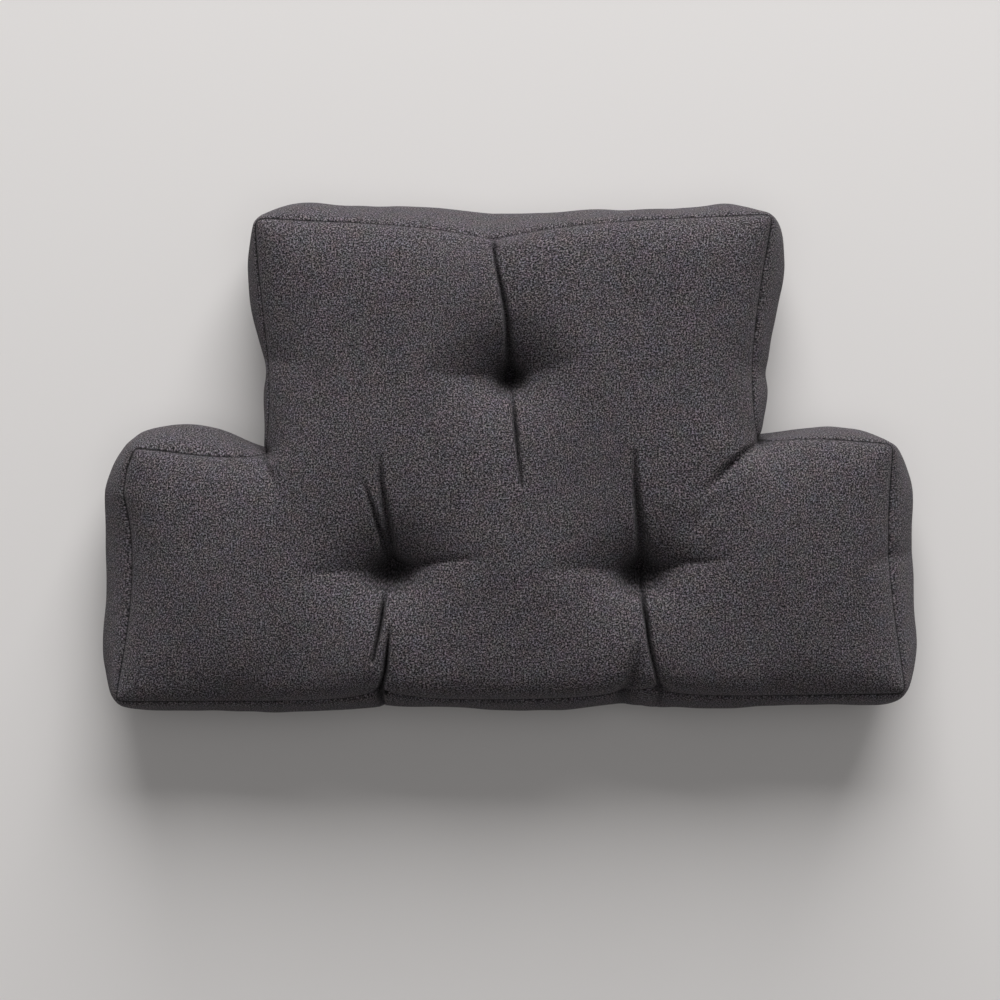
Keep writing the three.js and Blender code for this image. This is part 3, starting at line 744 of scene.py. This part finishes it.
warp_dip, weft_dip = (math_node("MULTIPLY_ADD", other, YARN_DIP, 1 - YARN_DIP)
                      for other in (weft_round, warp_round))
warp = math_node("MULTIPLY", warp_round, warp_dip)
weft = math_node("MULTIPLY", weft_round, weft_dip)
yarn_height = nodes.new("ShaderNodeMix")
join(over, yarn_height.inputs["Factor"])
join(warp, yarn_height.inputs["A"])
join(weft, yarn_height.inputs["B"])
yarn_height = yarn_height.outputs["Result"]

lot = nodes.new("ShaderNodeTexWhiteNoise")
lot.noise_dimensions = "3D"
join(crossing, lot.inputs["Vector"])
heather = noise_node(HEATHER_SCALE, 1.0, yarns.outputs["UV"])
heather.noise_dimensions = "2D"
heather = heather.outputs["Fac"]
fibre = noise_node(FIBRE_SCALE, 3.0, place).outputs["Fac"]
cloud = noise_node(CLOUD_SCALE, 3.0, place).outputs["Fac"]
tone_parts = {"lot": lot.outputs["Value"], "heather": heather, "fibre": fibre, "cloud": cloud,
              "painted_yarn_shade": yarn_height}
tone = 0.0
for name, part in tone_parts.items():
    tone = math_node("ADD", tone, math_node("MULTIPLY", part, TONE_SHARES[name]))
tone = math_node("SUBTRACT", tone, TONE_SHIFT)
ramp = nodes.new("ShaderNodeValToRGB")
ramp.color_ramp.elements[1].position = 1.0
for position, _ in TONES[1:-1]:
    ramp.color_ramp.elements.new(position)
for element, (position, colour) in zip(ramp.color_ramp.elements, TONES):
    element.position = position
    element.color = (*colour, 1.0)
join(tone, ramp.inputs["Fac"])

# Some yarns lean to plum and some to green, one by one and in faint patches. The dye of a yarn is
# mixed into mid grey, so that it takes half the light away.
DYE_SHARE = 0.07
DYE_SCALE = 90.0
PATCHES = (0.28, 0.15, 0.26)
tint = nodes.new("ShaderNodeMix")
tint.data_type = "RGBA"
tint.inputs["Factor"].default_value = DYE_SHARE
dye = nodes.new("ShaderNodeTexWhiteNoise")
dye.noise_dimensions = "3D"
join(vector_node("ADD", crossing, (0.5, 0.5, 0.5)), dye.inputs["Vector"])
join(dye.outputs["Color"], tint.inputs["B"])
tint.inputs["A"].default_value = (0.5, 0.5, 0.5, 1.0)
patches = noise_node(DYE_SCALE, 2.0, place).outputs["Color"]
patches = vector_node("MULTIPLY", vector_node("SUBTRACT", patches, (0.5, 0.5, 0.5)), PATCHES)
patches = vector_node("ADD", patches, (1, 1, 1))
tinted = vector_node("MULTIPLY", ramp.outputs["Color"], tint.outputs["Result"])
tinted = vector_node("MULTIPLY", tinted, patches)

# Painted shade: the colour is darkened in a thin line along the seams and down the deep folds,
# where shade would fall. FULL_LIGHT gives back what the dye's mid grey took.
SEAM_LINE = {"from": 0.0001, "to": 0.0009, "shade": 0.12}
DARKEST_PAINTED_SHADE = 0.2
FULL_LIGHT = 2.0
# The distance to the seam, lifted between the corners, sets the painted seam shade.
seam = nodes.new("ShaderNodeAttribute")
seam.attribute_name = "to_seam"
seam_shade = nodes.new("ShaderNodeMapRange")
seam_shade.interpolation_type = "SMOOTHSTEP"
join(seam.outputs["Fac"], seam_shade.inputs["Value"])
seam_shade.inputs["From Min"].default_value = SEAM_LINE["from"]
seam_shade.inputs["From Max"].default_value = SEAM_LINE["to"]
seam_shade.inputs["To Min"].default_value = FULL_LIGHT * SEAM_LINE["shade"]
seam_shade.inputs["To Max"].default_value = FULL_LIGHT
shaded = nodes.new("ShaderNodeVectorMath")
shaded.operation = "SCALE"
join(tinted, shaded.inputs[0])
tuck = nodes.new("ShaderNodeAttribute")
tuck.attribute_name = "tucked"
tuck_shade = math_node("MULTIPLY_ADD", tuck.outputs["Fac"], DARKEST_PAINTED_SHADE - 1, 1.0)
join(math_node("MULTIPLY", seam_shade.outputs["Result"], tuck_shade), shaded.inputs["Scale"])
join(shaded.outputs[0], shader.inputs["Base Color"])

# The rounded yarns and their fibres stand out a little. The cloth is matt, with a faint bloom.
RELIEF = {"strength": 0.55, "distance": 0.0004, "fibre": 0.8}
bump = nodes.new("ShaderNodeBump")
bump.inputs["Strength"].default_value = RELIEF["strength"]
bump.inputs["Distance"].default_value = RELIEF["distance"]
join(math_node("ADD", yarn_height, math_node("MULTIPLY", fibre, RELIEF["fibre"])),
     bump.inputs["Height"])
join(bump.outputs["Normal"], shader.inputs["Normal"])
shader.inputs["Roughness"].default_value = 0.92
shader.inputs["Sheen Roughness"].default_value = 0.45
shader.inputs["Specular IOR Level"].default_value = 0.2
shader.inputs["Sheen Weight"].default_value = 0.09
shader.inputs["Sheen Tint"].default_value = (0.80, 0.77, 0.80, 1.0)
cover_mesh.materials.append(cloth)
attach(cover, "root")
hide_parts("cushion")

# The camera stands over the cushion, tipped a little to the head end.
CAMERA_DISTANCE = 2.5
CAMERA_TILT = math.radians(5)
VIEW_WIDTH = 0.73
SENSOR_WIDTH = 0.036
AIM = Vector((*(np.array([-6, -31]) - middle_of_footprint), FRONT_SEAM_HEIGHT)) / 1000

lens = bpy.data.cameras.new("camera")
lens.sensor_width = SENSOR_WIDTH * 1000
lens.lens = SENSOR_WIDTH * 1000 * CAMERA_DISTANCE / VIEW_WIDTH
camera = bpy.data.objects.new("camera", lens)
camera.rotation_euler = Euler((-CAMERA_TILT, 0, 0))
camera.location = AIM + CAMERA_DISTANCE * Vector((0, math.sin(CAMERA_TILT), math.cos(CAMERA_TILT)))
bpy.context.scene.collection.objects.link(camera)
bpy.context.scene.camera = camera
